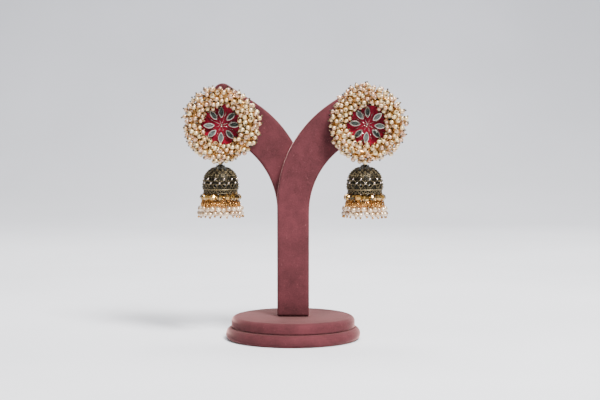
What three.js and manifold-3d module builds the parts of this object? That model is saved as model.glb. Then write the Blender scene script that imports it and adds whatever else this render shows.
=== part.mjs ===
// A pair of jhumka drop earrings on their velvet display stand. Each earring is a wreath of pearls round a
// red enamel dish with eight marquise stones, and a domed bell with a fringe of pearls that swings below it.
// The stand is two J-shaped boards, back to back on a round base, whose arms lean left and right.
// Millimetres, +Z up, the front faces -Y. The origin is the middle of the base's underside.
import * as THREE from "three";
import { mergeVertices } from "three/addons/utils/BufferGeometryUtils.js";
import Module from "manifold-3d";

const wasm = await Module();
wasm.setup();
const { Manifold, Mesh } = wasm;

const TURN = 2 * Math.PI;
const degrees = THREE.MathUtils.degToRad;

// Air left between a piece and the one that carries it.
const SEAT_GAP = 0.3;

// The base: a wide foot under a slightly smaller plinth, both with padded edges.
const FOOT_RADIUS = 35.5;
const FOOT_HEIGHT = 6.2;
const FOOT_EDGE = 2.6;
const PLINTH_STEP = 2.9;
const PLINTH_HEIGHT = 5.5;
const PLINTH_EDGE = 2.2;
const BASE_SIDES = 36;
const EDGE_STEPS = 2;

// The boards, seen from the front. The arm leans away from the upright after two arcs of its own radius.
const BOARD_THICKNESS = 6;
const BOARD_EDGE = 0.9;
const POST_WIDTH = 16.8;
const ARM_LEAN = degrees(57);
const UPPER_BEND_RADIUS = 62;
const UPPER_BEND_HEIGHT = 72.4;
const LOWER_BEND_RADIUS = 42;
const LOWER_BEND_HEIGHT = 67;
const ARM_LENGTH = 28;
const ARM_CORNER = 5;
const BEND_STEPS = 8;
const BOARD_EDGE_STEPS = 1;

// The enamel dish and its stones.
const DISH_RADIUS = 10.9;
const DISH_THICKNESS = 1.1;
const DISH_SIDES = 32;
const CLOISON_WIDTH = 0.3;
const CLOISON_RISE = 0.2;
const CLOISON_MARGIN = 0.5;
const STONES = 8;
const STONE_LENGTH = 6;
const STONE_WIDTH = 2.9;
const STONE_HEIGHT = 1.8;
const STONE_MARGIN = 1.3;
const STONE_ARC_STEPS = 4;

// A stone in its collar, from the back: the collar's wall, its lip, the crown facets and the flat table, as
// shares of the stone's width and height.
const STONE_SECTIONS = [
  { share: 1, height: 0 },
  { share: 1, height: 0.55 },
  { share: 0.82, height: 0.62 },
  { share: 0.5, height: 1 },
];

// The wreath of pearls: a padded ring with a skin of staggered pearls that leans over the dish.
const PEARL_PITCH = 2.6;
const WREATH_PITCH = 3.4;
const WREATH_ROWS = 12;
const WREATH_OVERHANG = 0.9;
const WREATH_REACH = 5.2;
const WREATH_FRONT = 5.2;
const WREATH_BACK = 3.6;
const PEARL_DENT = 0.9;

// The plate at the earring's back, with the ear post, and the eye that carries the drop.
const PLATE_MARGIN = 0.6;
const PLATE_THICKNESS = 1;
const PLATE_SIDES = 32;
const EAR_POST_RADIUS = 0.45;
const EAR_POST_RAISE = 6;
const EAR_POST_TAIL = 4;
const EAR_POST_CLEARANCE = 0.3;
const EAR_POST_SIDES = 10;
const EYE_RADIUS = 1.3;
const EYE_WIRE = 0.35;
const EYE_SOLDERED = 0.2;

// The ring that joins the drop to the eye.
const LINK_RADIUS = 1.6;
const LINK_WIRE = 0.4;
const LINK_GAP = 0.25;
const WIRE_SIDES = 6;
const RING_STEPS = 12;

// The bell: a pierced dome with granulated rows, a band under it, and a loop on its crown.
const BELL_RADIUS = 9.6;
const DOME_HEIGHT = 11.8;
const BAND_INSET = 0.4;
const BAND_HEIGHT = 2.1;
const BELL_WALL = 0.8;
const GRAIN_PITCH = 3.3;
const GRAIN_DENT = 0.4;
const CROWN_RISE = 0.7;
const CROWN_SIDES = 12;
const LOOP_RADIUS = 1.1;
const LOOP_WIRE = 0.35;
const PIERCINGS = 12;
const PIERCING_RADIUS = 0.8;
const PIERCING_DROP = 0.82;
const PIERCING_SIDES = 6;

// The dome's outline from its rim up to the crown, as shares of the bell's radius and of the dome's height.
const DOME_SECTIONS = [
  { reach: 0.985, drop: 1 },
  { reach: 1, drop: 0.82 },
  { reach: 0.97, drop: 0.65 },
  { reach: 0.92, drop: 0.48 },
  { reach: 0.82, drop: 0.32 },
  { reach: 0.67, drop: 0.18 },
  { reach: 0.48, drop: 0.07 },
  { reach: 0.25, drop: 0 },
];

// What hangs under the band: cut beads, a ring of wire loops, and the pearl fringe. Both hanging rings stand
// proud of the bell.
const CUT_BEADS = 16;
const CUT_BEAD_INSET = 0.3;
const CUT_BEAD_RADIUS = 1.85;
const CUT_BEAD_SIDES = 8;
const CUT_BEAD_WAIST = 0.8;
const LOOP_BAND_PROUD = 0.6;
const LOOP_BAND_WALL = 1.9;
const LOOP_BAND_HEIGHT = 2.8;
const LOOP_BAND_ROWS = 6;
const LOOP_PITCH = 2.8;
const FRINGE_PROUD = 2.6;
const FRINGE_WALL = 3.6;
const FRINGE_HEIGHT = 5.4;
const FRINGE_ROWS = 8;

// Where each earring is pinned on its arm, by its distance from the tip and its share of the arm's breadth
// from the lower edge up, and how far it has turned clockwise on its post.
const LEFT_FROM_TIP = 10.9;
const RIGHT_FROM_TIP = 9.3;
const EARRINGS = [
  { side: "left", hand: -1, fromTip: LEFT_FROM_TIP, across: 0.378, turned: degrees(2.5) },
  { side: "right", hand: 1, fromTip: RIGHT_FROM_TIP, across: 0.345, turned: degrees(3.5) },
];

// Vertices of one solid that lie closer than this are one vertex.
const MERGE_DISTANCE = 1e-4;

const material = (name, color, roughness, metalness) =>
  new THREE.MeshStandardMaterial({ name, color, roughness, metalness });
const VELVET = material("velvet", 0x8a4d52, 0.95, 0);
const ANTIQUE_GOLD = material("antique gold", 0x6b5a3c, 0.45, 0.9);
const BRIGHT_GOLD = material("bright gold", 0xb9803f, 0.35, 0.9);
const ENAMEL = material("red enamel", 0xa81f3c, 0.3, 0);
const STONE_FOIL = material("foiled stone", 0xaab0a8, 0.15, 0.4);
const PEARL_CREAM = material("cream pearl", 0xe3cda9, 0.35, 0);
const PEARL_WHITE = material("white pearl", 0xeadfd3, 0.35, 0);
const CUT_GLASS = material("gold cut glass", 0x9a7434, 0.15, 0.3);

// A closed geometry as a solid. Seam vertices are merged by position alone.
function solid(geometry) {
  const bare = geometry.clone();
  bare.deleteAttribute("normal");
  bare.deleteAttribute("uv");
  const merged = mergeVertices(bare, MERGE_DISTANCE);
  return new Manifold(
    new Mesh({
      numProp: 3,
      vertProperties: merged.attributes.position.array,
      triVerts: new Uint32Array(merged.index.array),
    }),
  );
}

function geometryOf(manifold) {
  const { vertProperties, triVerts } = manifold.getMesh();
  const geometry = new THREE.BufferGeometry();
  geometry.setAttribute("position", new THREE.BufferAttribute(vertProperties, 3));
  geometry.setIndex(new THREE.BufferAttribute(triVerts, 1));
  geometry.computeVertexNormals();
  return geometry;
}

const union = (solids) => solids.reduce((whole, piece) => whole.add(piece));

function node(name, geometry, finish) {
  const mesh = new THREE.Mesh(geometry, finish);
  mesh.name = name;
  return mesh;
}

// A solid of revolution about Z from an outline of [radius, height] points, given from the bottom up.
function turned(outline, sides) {
  const points = outline.map(([radius, height]) => new THREE.Vector2(radius, height));
  return new THREE.LatheGeometry(points, sides).rotateX(Math.PI / 2);
}

// A round disc that starts at height z. Its edges are rounded by quarter circles within its half height.
function paddedDisc(radius, height, edge, z) {
  const rounding = Math.min(edge, 0.48 * height);
  const corner = (from, middle) =>
    Array.from({ length: EDGE_STEPS + 1 }, (_, i) => {
      const angle = from + (i / EDGE_STEPS) * (Math.PI / 2);
      return [radius + rounding * (Math.cos(angle) - 1), middle + rounding * Math.sin(angle)];
    });
  const lower = corner(-Math.PI / 2, z + rounding);
  const upper = corner(0, z + height - rounding);
  return turned([[0, z], ...lower, ...upper, [0, z + height]], BASE_SIDES);
}

// A closed ring about Z with a beaded skin. A section is one circle of the profile, counted anticlockwise,
// and every second point of it is sunk. Staggered circles leave separate grains standing, and circles in
// step leave whole beads, strung side by side.
function beadedRing(sections, around, staggered = true) {
  const isSunk = (i, row) => (staggered ? i + row : i) % 2 === 1;
  const position = [];
  const index = [];
  sections.forEach(({ r, z, sunkR = r, sunkZ = z }, row) => {
    for (let i = 0; i < around; i++) {
      const angle = (i / around) * TURN;
      const radius = isSunk(i, row) ? sunkR : r;
      const height = isSunk(i, row) ? sunkZ : z;
      position.push(radius * Math.cos(angle), radius * Math.sin(angle), height);
    }
  });
  sections.forEach((_, row) => {
    for (let i = 0; i < around; i++) {
      const next = (i + 1) % around;
      const above = (row + 1) % sections.length;
      const [a, b] = [row * around + i, row * around + next];
      const [c, d] = [above * around + next, above * around + i];
      if (isSunk(i, row)) index.push(a, b, c, a, c, d);
      else index.push(a, b, d, b, c, d);
    }
  });
  const geometry = new THREE.BufferGeometry();
  geometry.setAttribute("position", new THREE.Float32BufferAttribute(position, 3));
  geometry.setIndex(index);
  geometry.computeVertexNormals();
  return geometry;
}

// An even number of points for a ring whose beads lie one pitch apart.
const pointsAround = (radius, pitch) => 2 * Math.round((TURN * radius) / pitch);

// The profile of a fat ring with a beaded skin, whose half height differs above and below its middle.
function roundProfile(radius, reach, upper, lower, rows, dent) {
  return Array.from({ length: rows }, (_, k) => {
    const angle = (k / rows) * TURN;
    const half = Math.sin(angle) < 0 ? lower : upper;
    return {
      r: radius + reach * Math.cos(angle),
      z: half * Math.sin(angle),
      sunkR: radius + (reach - dent) * Math.cos(angle),
      sunkZ: (half - dent) * Math.sin(angle),
    };
  });
}

// A wire ring whose hole faces along Y.
const wireRing = (radius, wire) =>
  new THREE.TorusGeometry(radius, wire, WIRE_SIDES, RING_STEPS).rotateX(Math.PI / 2);

// The frame of the right arm in the front plane: along is outwards, over is across it and upwards.
const along = new THREE.Vector2(Math.sin(ARM_LEAN), Math.cos(ARM_LEAN));
const over = new THREE.Vector2(-Math.cos(ARM_LEAN), Math.sin(ARM_LEAN));
const bendEnd = (startX, startZ, radius) =>
  new THREE.Vector2(startX + radius * (1 - Math.cos(ARM_LEAN)), startZ + radius * Math.sin(ARM_LEAN));
const upperBendEnd = bendEnd(-POST_WIDTH / 2, UPPER_BEND_HEIGHT, UPPER_BEND_RADIUS);
const lowerBendEnd = bendEnd(POST_WIDTH / 2, LOWER_BEND_HEIGHT, LOWER_BEND_RADIUS);
const tipAlong = lowerBendEnd.dot(along) + ARM_LENGTH;
const armPoint = (s, n) => along.clone().multiplyScalar(s).addScaledVector(over, n);

const BASE_HEIGHT = FOOT_HEIGHT + SEAT_GAP + PLINTH_HEIGHT;

// Where an earring's post goes through its arm, as if the arm leaned right.
const pinPoint = ({ fromTip, across }) =>
  armPoint(tipAlong - fromTip, THREE.MathUtils.lerp(lowerBendEnd.dot(over), upperBendEnd.dot(over), across));

// The J-shaped outline of a board whose arm leans right.
function boardOutline() {
  const half = POST_WIDTH / 2 - BOARD_EDGE;
  const upper = UPPER_BEND_RADIUS - BOARD_EDGE;
  const lower = LOWER_BEND_RADIUS + BOARD_EDGE;
  const corner = ARM_CORNER - BOARD_EDGE;
  const foot = BASE_HEIGHT + SEAT_GAP + BOARD_EDGE;
  const roundTip = (n, side, startAngle) => {
    const middle = armPoint(tipAlong - ARM_CORNER, n - side * ARM_CORNER);
    outline.absarc(middle.x, middle.y, corner, startAngle, startAngle + Math.PI / 2, false);
  };
  const outline = new THREE.Shape();
  const overAngle = Math.PI - ARM_LEAN;
  outline.moveTo(-half, foot);
  outline.lineTo(half, foot);
  outline.absarc(
    POST_WIDTH / 2 + LOWER_BEND_RADIUS, LOWER_BEND_HEIGHT, lower, Math.PI, overAngle, true,
  );
  roundTip(lowerBendEnd.dot(over), -1, overAngle - Math.PI);
  roundTip(upperBendEnd.dot(over), 1, overAngle - Math.PI / 2);
  outline.absarc(
    -POST_WIDTH / 2 + UPPER_BEND_RADIUS, UPPER_BEND_HEIGHT, upper, overAngle, Math.PI, false,
  );
  return outline;
}

// One board, from its front face at depth y backwards, with the hole for its earring's post.
function board(name, earring, y) {
  const slab = new THREE.ExtrudeGeometry(boardOutline(), {
    depth: BOARD_THICKNESS - 2 * BOARD_EDGE,
    curveSegments: BEND_STEPS,
    bevelThickness: BOARD_EDGE,
    bevelSize: BOARD_EDGE,
    bevelSegments: BOARD_EDGE_STEPS,
  });
  slab.rotateX(Math.PI / 2).translate(0, y + BOARD_THICKNESS - BOARD_EDGE, 0);
  const pin = pinPoint(earring);
  const drill = new THREE.CylinderGeometry(
    EAR_POST_RADIUS + EAR_POST_CLEARANCE, EAR_POST_RADIUS + EAR_POST_CLEARANCE,
    3 * BOARD_THICKNESS, EAR_POST_SIDES,
  ).translate(pin.x, y, pin.y);
  const rightHanded = solid(slab).subtract(solid(drill));
  const placed = earring.hand < 0 ? rightHanded.mirror([1, 0, 0]) : rightHanded;
  return node(name, geometryOf(placed), VELVET);
}

// The front face of the board that carries an earring: the right arm belongs to the front board.
const boardFront = ({ hand }) => (hand > 0 ? -BOARD_THICKNESS - SEAT_GAP / 2 : SEAT_GAP / 2);

function stand() {
  const [left, right] = EARRINGS;
  const group = new THREE.Group();
  group.add(
    node("base_foot", paddedDisc(FOOT_RADIUS, FOOT_HEIGHT, FOOT_EDGE, 0), VELVET),
    node(
      "base_plinth",
      paddedDisc(FOOT_RADIUS - PLINTH_STEP, PLINTH_HEIGHT, PLINTH_EDGE, FOOT_HEIGHT + SEAT_GAP),
      VELVET,
    ),
    board("front_board", right, boardFront(right)),
    board("back_board", left, boardFront(left)),
  );
  return group;
}

// The pieces of an earring's face lie in the XY plane, +Y up and +Z to the front, from the board's face on.
const PLATE_BACK = SEAT_GAP;
const PLATE_FRONT = PLATE_BACK + PLATE_THICKNESS;
const DISH_BACK = PLATE_FRONT + SEAT_GAP;
const DISH_FRONT = DISH_BACK + DISH_THICKNESS;
const STONE_BACK = DISH_FRONT + CLOISON_RISE + SEAT_GAP;
const STONE_RING = DISH_RADIUS - STONE_MARGIN - STONE_LENGTH / 2;
const WREATH_MIDDLE = PLATE_FRONT + SEAT_GAP + WREATH_BACK;
const WREATH_RADIUS = DISH_RADIUS - WREATH_OVERHANG + WREATH_REACH;
const PLATE_RADIUS = WREATH_RADIUS + PLATE_MARGIN;
const EYE_DROP = PLATE_RADIUS - EYE_SOLDERED + 2 * EYE_RADIUS;

// A disc with the ear post behind it and the eye below it, soldered into one.
function plate(name) {
  const disc = new THREE.CylinderGeometry(PLATE_RADIUS, PLATE_RADIUS, PLATE_THICKNESS, PLATE_SIDES)
    .rotateX(Math.PI / 2)
    .translate(0, 0, PLATE_BACK + PLATE_THICKNESS / 2);
  const postBack = -BOARD_THICKNESS - EAR_POST_TAIL;
  const postFront = PLATE_BACK + PLATE_THICKNESS / 2;
  const postLength = postFront - postBack;
  const post = new THREE.CylinderGeometry(EAR_POST_RADIUS, EAR_POST_RADIUS, postLength, EAR_POST_SIDES)
    .rotateX(Math.PI / 2)
    .translate(0, EAR_POST_RAISE, postBack + postLength / 2);
  const eye = wireRing(EYE_RADIUS, EYE_WIRE).rotateZ(Math.PI / 2).translate(0, EYE_RADIUS - EYE_DROP, 0);
  return node(name, geometryOf(union([disc, post, eye].map(solid))), ANTIQUE_GOLD);
}

// The enamel dish, with a raised wire between every two stones.
function dish(name) {
  const bowl = new THREE.CylinderGeometry(DISH_RADIUS, DISH_RADIUS, DISH_THICKNESS, DISH_SIDES)
    .rotateX(Math.PI / 2)
    .translate(0, 0, DISH_BACK + DISH_THICKNESS / 2);
  const wires = Array.from({ length: STONES / 2 }, (_, i) =>
    new THREE.BoxGeometry(CLOISON_WIDTH, 2 * (DISH_RADIUS - CLOISON_MARGIN), DISH_THICKNESS)
      .translate(0, 0, DISH_BACK + DISH_THICKNESS / 2 + CLOISON_RISE)
      .rotateZ(((i + 0.5) / STONES) * TURN),
  );
  return node(name, geometryOf(union([bowl, ...wires].map(solid))), ENAMEL);
}

// Half of a marquise's pointed outline is one arc through its tips and its widest point.
function marquiseOutline(length, width) {
  const radius = (length * length + width * width) / (4 * width);
  const reach = Math.asin(length / 2 / radius);
  const side = (sign) =>
    Array.from({ length: STONE_ARC_STEPS }, (_, i) => {
      const angle = sign * reach * ((2 * i) / STONE_ARC_STEPS - 1);
      return [sign * (radius * Math.cos(angle) - radius + width / 2), radius * Math.sin(angle)];
    });
  return [...side(1), ...side(-1)];
}

// A marquise stone in its collar, its long axis pointing outwards.
function stone(name, turn) {
  const sections = STONE_SECTIONS.map(({ share, height }) =>
    marquiseOutline(STONE_LENGTH - (1 - share) * STONE_WIDTH, STONE_WIDTH * share).map(([x, y]) => [
      x, y, height * STONE_HEIGHT,
    ]),
  );
  const count = sections[0].length;
  const index = [];
  for (let row = 0; row + 1 < sections.length; row++) {
    for (let i = 0; i < count; i++) {
      const [a, b] = [row * count + i, row * count + ((i + 1) % count)];
      index.push(a, b, b + count, a, b + count, a + count);
    }
  }
  for (let i = 1; i + 1 < count; i++) {
    const top = (sections.length - 1) * count;
    index.push(0, i + 1, i, top, top + i, top + i + 1);
  }
  const geometry = new THREE.BufferGeometry();
  geometry.setAttribute("position", new THREE.Float32BufferAttribute(sections.flat(2), 3));
  geometry.setIndex(index);
  geometry.translate(0, STONE_RING, STONE_BACK).rotateZ(turn).computeVertexNormals();
  return node(name, geometry, STONE_FOIL);
}

// The pearl wreath round the dish.
function wreath(name) {
  const profile = roundProfile(
    WREATH_RADIUS, WREATH_REACH, WREATH_FRONT, WREATH_BACK, WREATH_ROWS, PEARL_DENT,
  );
  const ring = beadedRing(profile, pointsAround(WREATH_RADIUS, WREATH_PITCH)).translate(0, 0, WREATH_MIDDLE);
  return node(name, ring, PEARL_CREAM);
}

// Heights of the drop below the eye's lowest wire, on which it swings.
const LINK_TOP = EYE_WIRE + LINK_GAP + LINK_WIRE;
const LINK_MIDDLE = LINK_TOP - LINK_RADIUS;
const LINK_LOWEST = LINK_MIDDLE - LINK_RADIUS;
const LOOP_MIDDLE = LINK_LOWEST + LINK_WIRE + LINK_GAP + LOOP_WIRE - LOOP_RADIUS;
const CROWN_TOP = LOOP_MIDDLE - LOOP_RADIUS + LOOP_WIRE;
const DOME_TOP = CROWN_TOP - CROWN_RISE;
const DOME_RIM = DOME_TOP - DOME_HEIGHT;
const BAND_FOOT = DOME_RIM - BAND_HEIGHT;
const BAND_RADIUS = BELL_RADIUS - BAND_INSET;
const CROWN_RADIUS = BELL_RADIUS * DOME_SECTIONS.at(-1).reach - GRAIN_DENT;
const CUT_BEAD_RING = BELL_RADIUS - CUT_BEAD_INSET;
const CUT_BEAD_LEVEL = BAND_FOOT - SEAT_GAP - CUT_BEAD_RADIUS;
const LOOP_BAND_TOP = CUT_BEAD_LEVEL - CUT_BEAD_RADIUS - SEAT_GAP;
const FRINGE_TOP = LOOP_BAND_TOP - LOOP_BAND_HEIGHT - SEAT_GAP;

const link = (name) =>
  node(name, wireRing(LINK_RADIUS, LINK_WIRE).translate(0, 0, LINK_MIDDLE), ANTIQUE_GOLD);

// The bell: an outer wall with rows of grains, a smooth inner wall, the crown's loop, and a row of holes.
function bell(name) {
  const grained = DOME_SECTIONS.map(({ reach, drop }) => ({
    r: BELL_RADIUS * reach,
    z: DOME_TOP - DOME_HEIGHT * drop,
    sunkR: BELL_RADIUS * reach - GRAIN_DENT,
  }));
  const inner = DOME_SECTIONS.filter((_, i) => i % 2)
    .map(({ reach, drop }) => ({
      r: BELL_RADIUS * reach - GRAIN_DENT - BELL_WALL,
      z: DOME_TOP - BELL_WALL - (DOME_HEIGHT - BELL_WALL) * drop,
    }))
    .reverse();
  const band = [
    { r: BAND_RADIUS, z: BAND_FOOT },
    { r: BAND_RADIUS, z: DOME_RIM - BAND_HEIGHT / 4, sunkR: BAND_RADIUS - GRAIN_DENT },
  ];
  const innerFoot = [
    { r: BAND_RADIUS - GRAIN_DENT - BELL_WALL, z: DOME_RIM },
    { r: BAND_RADIUS - GRAIN_DENT - BELL_WALL, z: BAND_FOOT },
  ];
  const profile = [...band, ...grained, ...inner, ...innerFoot];
  const shell = solid(beadedRing(profile, pointsAround(BELL_RADIUS, GRAIN_PITCH)));
  const crown = turned(
    [
      [0, DOME_TOP - 2 * BELL_WALL],
      [CROWN_RADIUS, DOME_TOP - 2 * BELL_WALL],
      [CROWN_RADIUS, DOME_TOP],
      [CROWN_RADIUS / 2, CROWN_TOP],
      [0, CROWN_TOP],
    ],
    CROWN_SIDES,
  );
  const loop = wireRing(LOOP_RADIUS, LOOP_WIRE).rotateZ(Math.PI / 2).translate(0, 0, LOOP_MIDDLE);
  const holes = Array.from({ length: PIERCINGS }, (_, i) =>
    new THREE.CylinderGeometry(PIERCING_RADIUS, PIERCING_RADIUS, BELL_RADIUS, PIERCING_SIDES)
      .translate(0, BELL_RADIUS, 0)
      .rotateZ(((i + 0.5) / PIERCINGS) * TURN)
      .translate(0, 0, DOME_TOP - DOME_HEIGHT * PIERCING_DROP),
  );
  const whole = union([shell, solid(crown), solid(loop)]).subtract(union(holes.map(solid)));
  return node(name, geometryOf(whole), ANTIQUE_GOLD);
}

// Cut glass beads strung side by side under the band, each a short barrel of facets.
function cutBeads(name) {
  const profile = roundProfile(
    CUT_BEAD_RING, CUT_BEAD_RADIUS, CUT_BEAD_RADIUS, CUT_BEAD_RADIUS, CUT_BEAD_SIDES, CUT_BEAD_WAIST,
  );
  return node(name, beadedRing(profile, 2 * CUT_BEADS, false).translate(0, 0, CUT_BEAD_LEVEL), CUT_GLASS);
}

// A hanging ring with a beaded skin, by how far it stands proud of the bell, its wall, top and height.
function hangingRing(name, { proud, wall, top, height, rows, pitch, finish }) {
  const middle = BELL_RADIUS + proud - wall / 2;
  const profile = roundProfile(middle, wall / 2, height / 2, height / 2, rows, GRAIN_DENT);
  const ring = beadedRing(profile, pointsAround(middle, pitch)).translate(0, 0, top - height / 2);
  return node(name, ring, finish);
}

const WIRE_LOOPS = {
  proud: LOOP_BAND_PROUD,
  wall: LOOP_BAND_WALL,
  top: LOOP_BAND_TOP,
  height: LOOP_BAND_HEIGHT,
  rows: LOOP_BAND_ROWS,
  pitch: LOOP_PITCH,
  finish: BRIGHT_GOLD,
};
const PEARL_FRINGE = {
  proud: FRINGE_PROUD,
  wall: FRINGE_WALL,
  top: FRINGE_TOP,
  height: FRINGE_HEIGHT,
  rows: FRINGE_ROWS,
  pitch: PEARL_PITCH,
  finish: PEARL_WHITE,
};

// One earring: its face, turned a little on its post, and its drop, which hangs plumb from the eye.
function earring({ side, hand, turned: turn, ...pinned }) {
  const pin = pinPoint(pinned);
  const up = new THREE.Vector2(Math.sin(turn), Math.cos(turn));
  const middle = new THREE.Vector2(hand * pin.x, pin.y).addScaledVector(up, -EAR_POST_RAISE);
  const face = new THREE.Group();
  face.rotation.z = -turn;
  face.add(plate(`${side}_back_plate`), dish(`${side}_enamel_dish`), wreath(`${side}_pearl_wreath`));
  for (let i = 0; i < STONES; i++) face.add(stone(`${side}_marquise_${i + 1}`, (i / STONES) * TURN));
  const upright = new THREE.Group();
  upright.position.set(middle.x, boardFront({ hand }), middle.y);
  upright.rotation.x = Math.PI / 2;
  upright.add(face);

  const swing = middle.clone().addScaledVector(up, -EYE_DROP);
  const drop = new THREE.Group();
  drop.position.set(swing.x, boardFront({ hand }), swing.y);
  drop.add(
    link(`${side}_link`),
    bell(`${side}_bell`),
    cutBeads(`${side}_cut_beads`),
    hangingRing(`${side}_wire_loops`, WIRE_LOOPS),
    hangingRing(`${side}_pearl_fringe`, PEARL_FRINGE),
  );
  const group = new THREE.Group();
  group.add(upright, drop);
  return group;
}

const jhumkasOnStand = new THREE.Group();
jhumkasOnStand.name = "jhumka_earrings_on_stand";
jhumkasOnStand.add(stand(), ...EARRINGS.map(earring));
export default jhumkasOnStand;
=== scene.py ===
"""A pair of jhumka drop earrings on their velvet display stand, dressed piece by piece."""

import math
import random

import bmesh
import bpy
from bpy.props import FloatProperty, FloatVectorProperty, IntProperty, PointerProperty
from mathutils import Matrix, Vector


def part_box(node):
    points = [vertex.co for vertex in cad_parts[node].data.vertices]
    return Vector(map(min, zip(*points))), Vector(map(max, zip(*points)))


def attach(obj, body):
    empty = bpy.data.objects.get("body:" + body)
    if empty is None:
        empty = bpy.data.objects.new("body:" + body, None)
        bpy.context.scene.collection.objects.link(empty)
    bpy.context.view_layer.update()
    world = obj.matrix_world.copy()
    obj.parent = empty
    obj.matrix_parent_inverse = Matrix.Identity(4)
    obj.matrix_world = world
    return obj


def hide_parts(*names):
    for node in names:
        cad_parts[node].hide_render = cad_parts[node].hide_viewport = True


bl_info = {
    "name": "Jhumka Earrings on a Stand",
    "version": (1, 0, 0),
    "blender": (4, 5, 0),
    "location": "View3D > Sidebar > Jhumka",
    "description": "Dresses a pair of pearl drop earrings and the velvet stand they hang on",
    "category": "Object",
}

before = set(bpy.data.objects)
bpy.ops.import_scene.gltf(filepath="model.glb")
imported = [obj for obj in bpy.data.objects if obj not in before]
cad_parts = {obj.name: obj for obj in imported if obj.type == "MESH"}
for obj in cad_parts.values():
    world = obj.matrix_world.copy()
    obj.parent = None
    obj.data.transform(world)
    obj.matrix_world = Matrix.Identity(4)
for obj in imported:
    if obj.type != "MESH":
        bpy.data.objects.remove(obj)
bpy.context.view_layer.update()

MM = 0.001
TURN = 2 * math.pi
SIDES = ("left", "right")
STONES = 8


# Colours and props


def linear(code):
    """A '#rrggbb' sRGB colour as linear RGB."""
    shares = [int(code[i : i + 2], 16) / 255 for i in (1, 3, 5)]
    return tuple(c / 12.92 if c <= 0.04045 else ((c + 0.055) / 1.055) ** 2.4 for c in shares)


def colour_prop(name, description, code):
    return FloatVectorProperty(
        name=name, description=description, subtype="COLOR", min=0, max=1, default=linear(code)
    )


def length_prop(name, description, millimetres):
    return FloatProperty(
        name=name, description=description, unit="LENGTH", min=0, precision=5, default=millimetres * MM
    )


def count_prop(name, description, least, number):
    return IntProperty(name=name, description=description, min=least, default=number)


def power_prop(name, description, watts):
    return FloatProperty(name=name, description=description, unit="POWER", default=watts)


def turn_prop(name, description, degrees):
    return FloatProperty(
        name=name, description=description, subtype="ANGLE", default=math.radians(degrees)
    )


class StandSettings(bpy.types.PropertyGroup):
    """Sizes and colours of the velvet stand."""

    cloth_voxel: length_prop("Cloth voxel", "Fineness of the velvet skin of the boards", 0.45)
    velvet: colour_prop("Velvet", "Colour of the brushed pile", "#5b2c31")
    velvet_shade: colour_prop("Velvet against the nap", "Colour where the pile leans away", "#3f1e21")
    lint: colour_prop("Lint", "Colour of lint and crushed pile", "#8c5355")
    velvet_sheen: colour_prop("Velvet sheen", "Colour of the light that the pile tips catch", "#f0b8b0")


class WreathSettings(bpy.types.PropertyGroup):
    """Sizes and colours of the pearl wreaths."""

    pearl: length_prop("Pearl", "Diameter of one pearl", 2.5)
    tip: length_prop("Pin tip", "Diameter of the ball at a headpin's end", 0.95)
    wire: length_prop("Wire", "Diameter of the headpins and their loops", 0.34)
    loops: count_prop("Loops", "Wire loops that show between the pearls", 0, 240)
    cream: colour_prop("Cream", "Colour of most pearls", "#c59c5f")
    blush: colour_prop("Blush", "Colour of the pinkish pearls", "#bc8a68")
    snow: colour_prop("White", "Colour of the palest pearls", "#dfc58c")
    pooled: colour_prop("Pooled lacquer", "Tint where the lacquer ran thick", "#efdfc8")


class FlowerSettings(bpy.types.PropertyGroup):
    """Sizes and colours of the enamel flower."""

    flute: length_prop("Flute", "Depth of the waves in the enamel", 0.05)
    ray: length_prop("Ray", "Width of a silver ray", 0.15)
    crimson: colour_prop("Crimson", "Colour of the enamel", "#a2002a")
    crimson_deep: colour_prop("Deep crimson", "Colour of the enamel where it is deep", "#3c020e")
    silver: colour_prop("Silver", "Colour of the rays and collars", "#e6dcd0")
    foil: colour_prop("Foil", "Colour of the stones' foil", "#525a53")


class BellSettings(bpy.types.PropertyGroup):
    """Sizes and colours of the bells and what hangs on them."""

    grain: length_prop("Grain", "Diameter of a small grain on the dome", 0.62)
    knob: length_prop("Knob", "Diameter of a bright knob on the dome", 1.15)
    cut_beads: count_prop("Cut beads", "Cut glass beads round a bell", 8, 16)
    fringe_pearls: count_prop("Fringe", "Pearls in one row of the fringe", 8, 23)
    knob_silver: colour_prop("Knob silver", "Colour of the bright knobs", "#f6e4d8")
    worn_gold: colour_prop("Worn gold", "Colour of the polished high spots", "#8f7e5e")
    oxide: colour_prop("Oxide", "Colour of the blackened hollows", "#1d1a13")
    wire_gold: colour_prop("Wire gold", "Colour of the bright gold wire", "#d9a05c")
    # The cut glass carries painted light: its facets take colours between these two.
    glass_lit_gold: colour_prop("Glass gold", "Colour of the cut glass in the light", "#d3a04c")
    glass_shaded_olive: colour_prop("Glass olive", "Colour of the cut glass in the shade", "#33280f")
    fringe_white: colour_prop("Fringe white", "Colour of the fringe's pearls", "#c8a982")
    fringe_pale: colour_prop("Fringe pale", "Colour of the fringe's palest pearls", "#e6cfb2")
    fringe_grey: colour_prop("Fringe grey", "Colour of the fringe's duller pearls", "#96704e")


class StageSettings(bpy.types.PropertyGroup):
    """Backdrop and light."""

    floor: colour_prop("Floor", "Colour of the floor and backdrop", "#ececf0")
    # Painted shade: the backdrop's colour is multiplied by this towards the wall.
    far_painted_shade: colour_prop("Far shade", "Tint of the backdrop at its far end", "#c1c2c6")
    sky_tint: colour_prop("Sky tint", "Colour of the even light", "#f9fcff")
    key_power: power_prop("Key", "Power of the soft box", 36)
    fill_power: power_prop("Fill", "Power of the fill light", 3)
    wall_power: power_prop("Wall", "Power of the backdrop's own light", 13)
    sky: FloatProperty(name="Sky", description="Strength of the even light", min=0, default=0.26)


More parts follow.
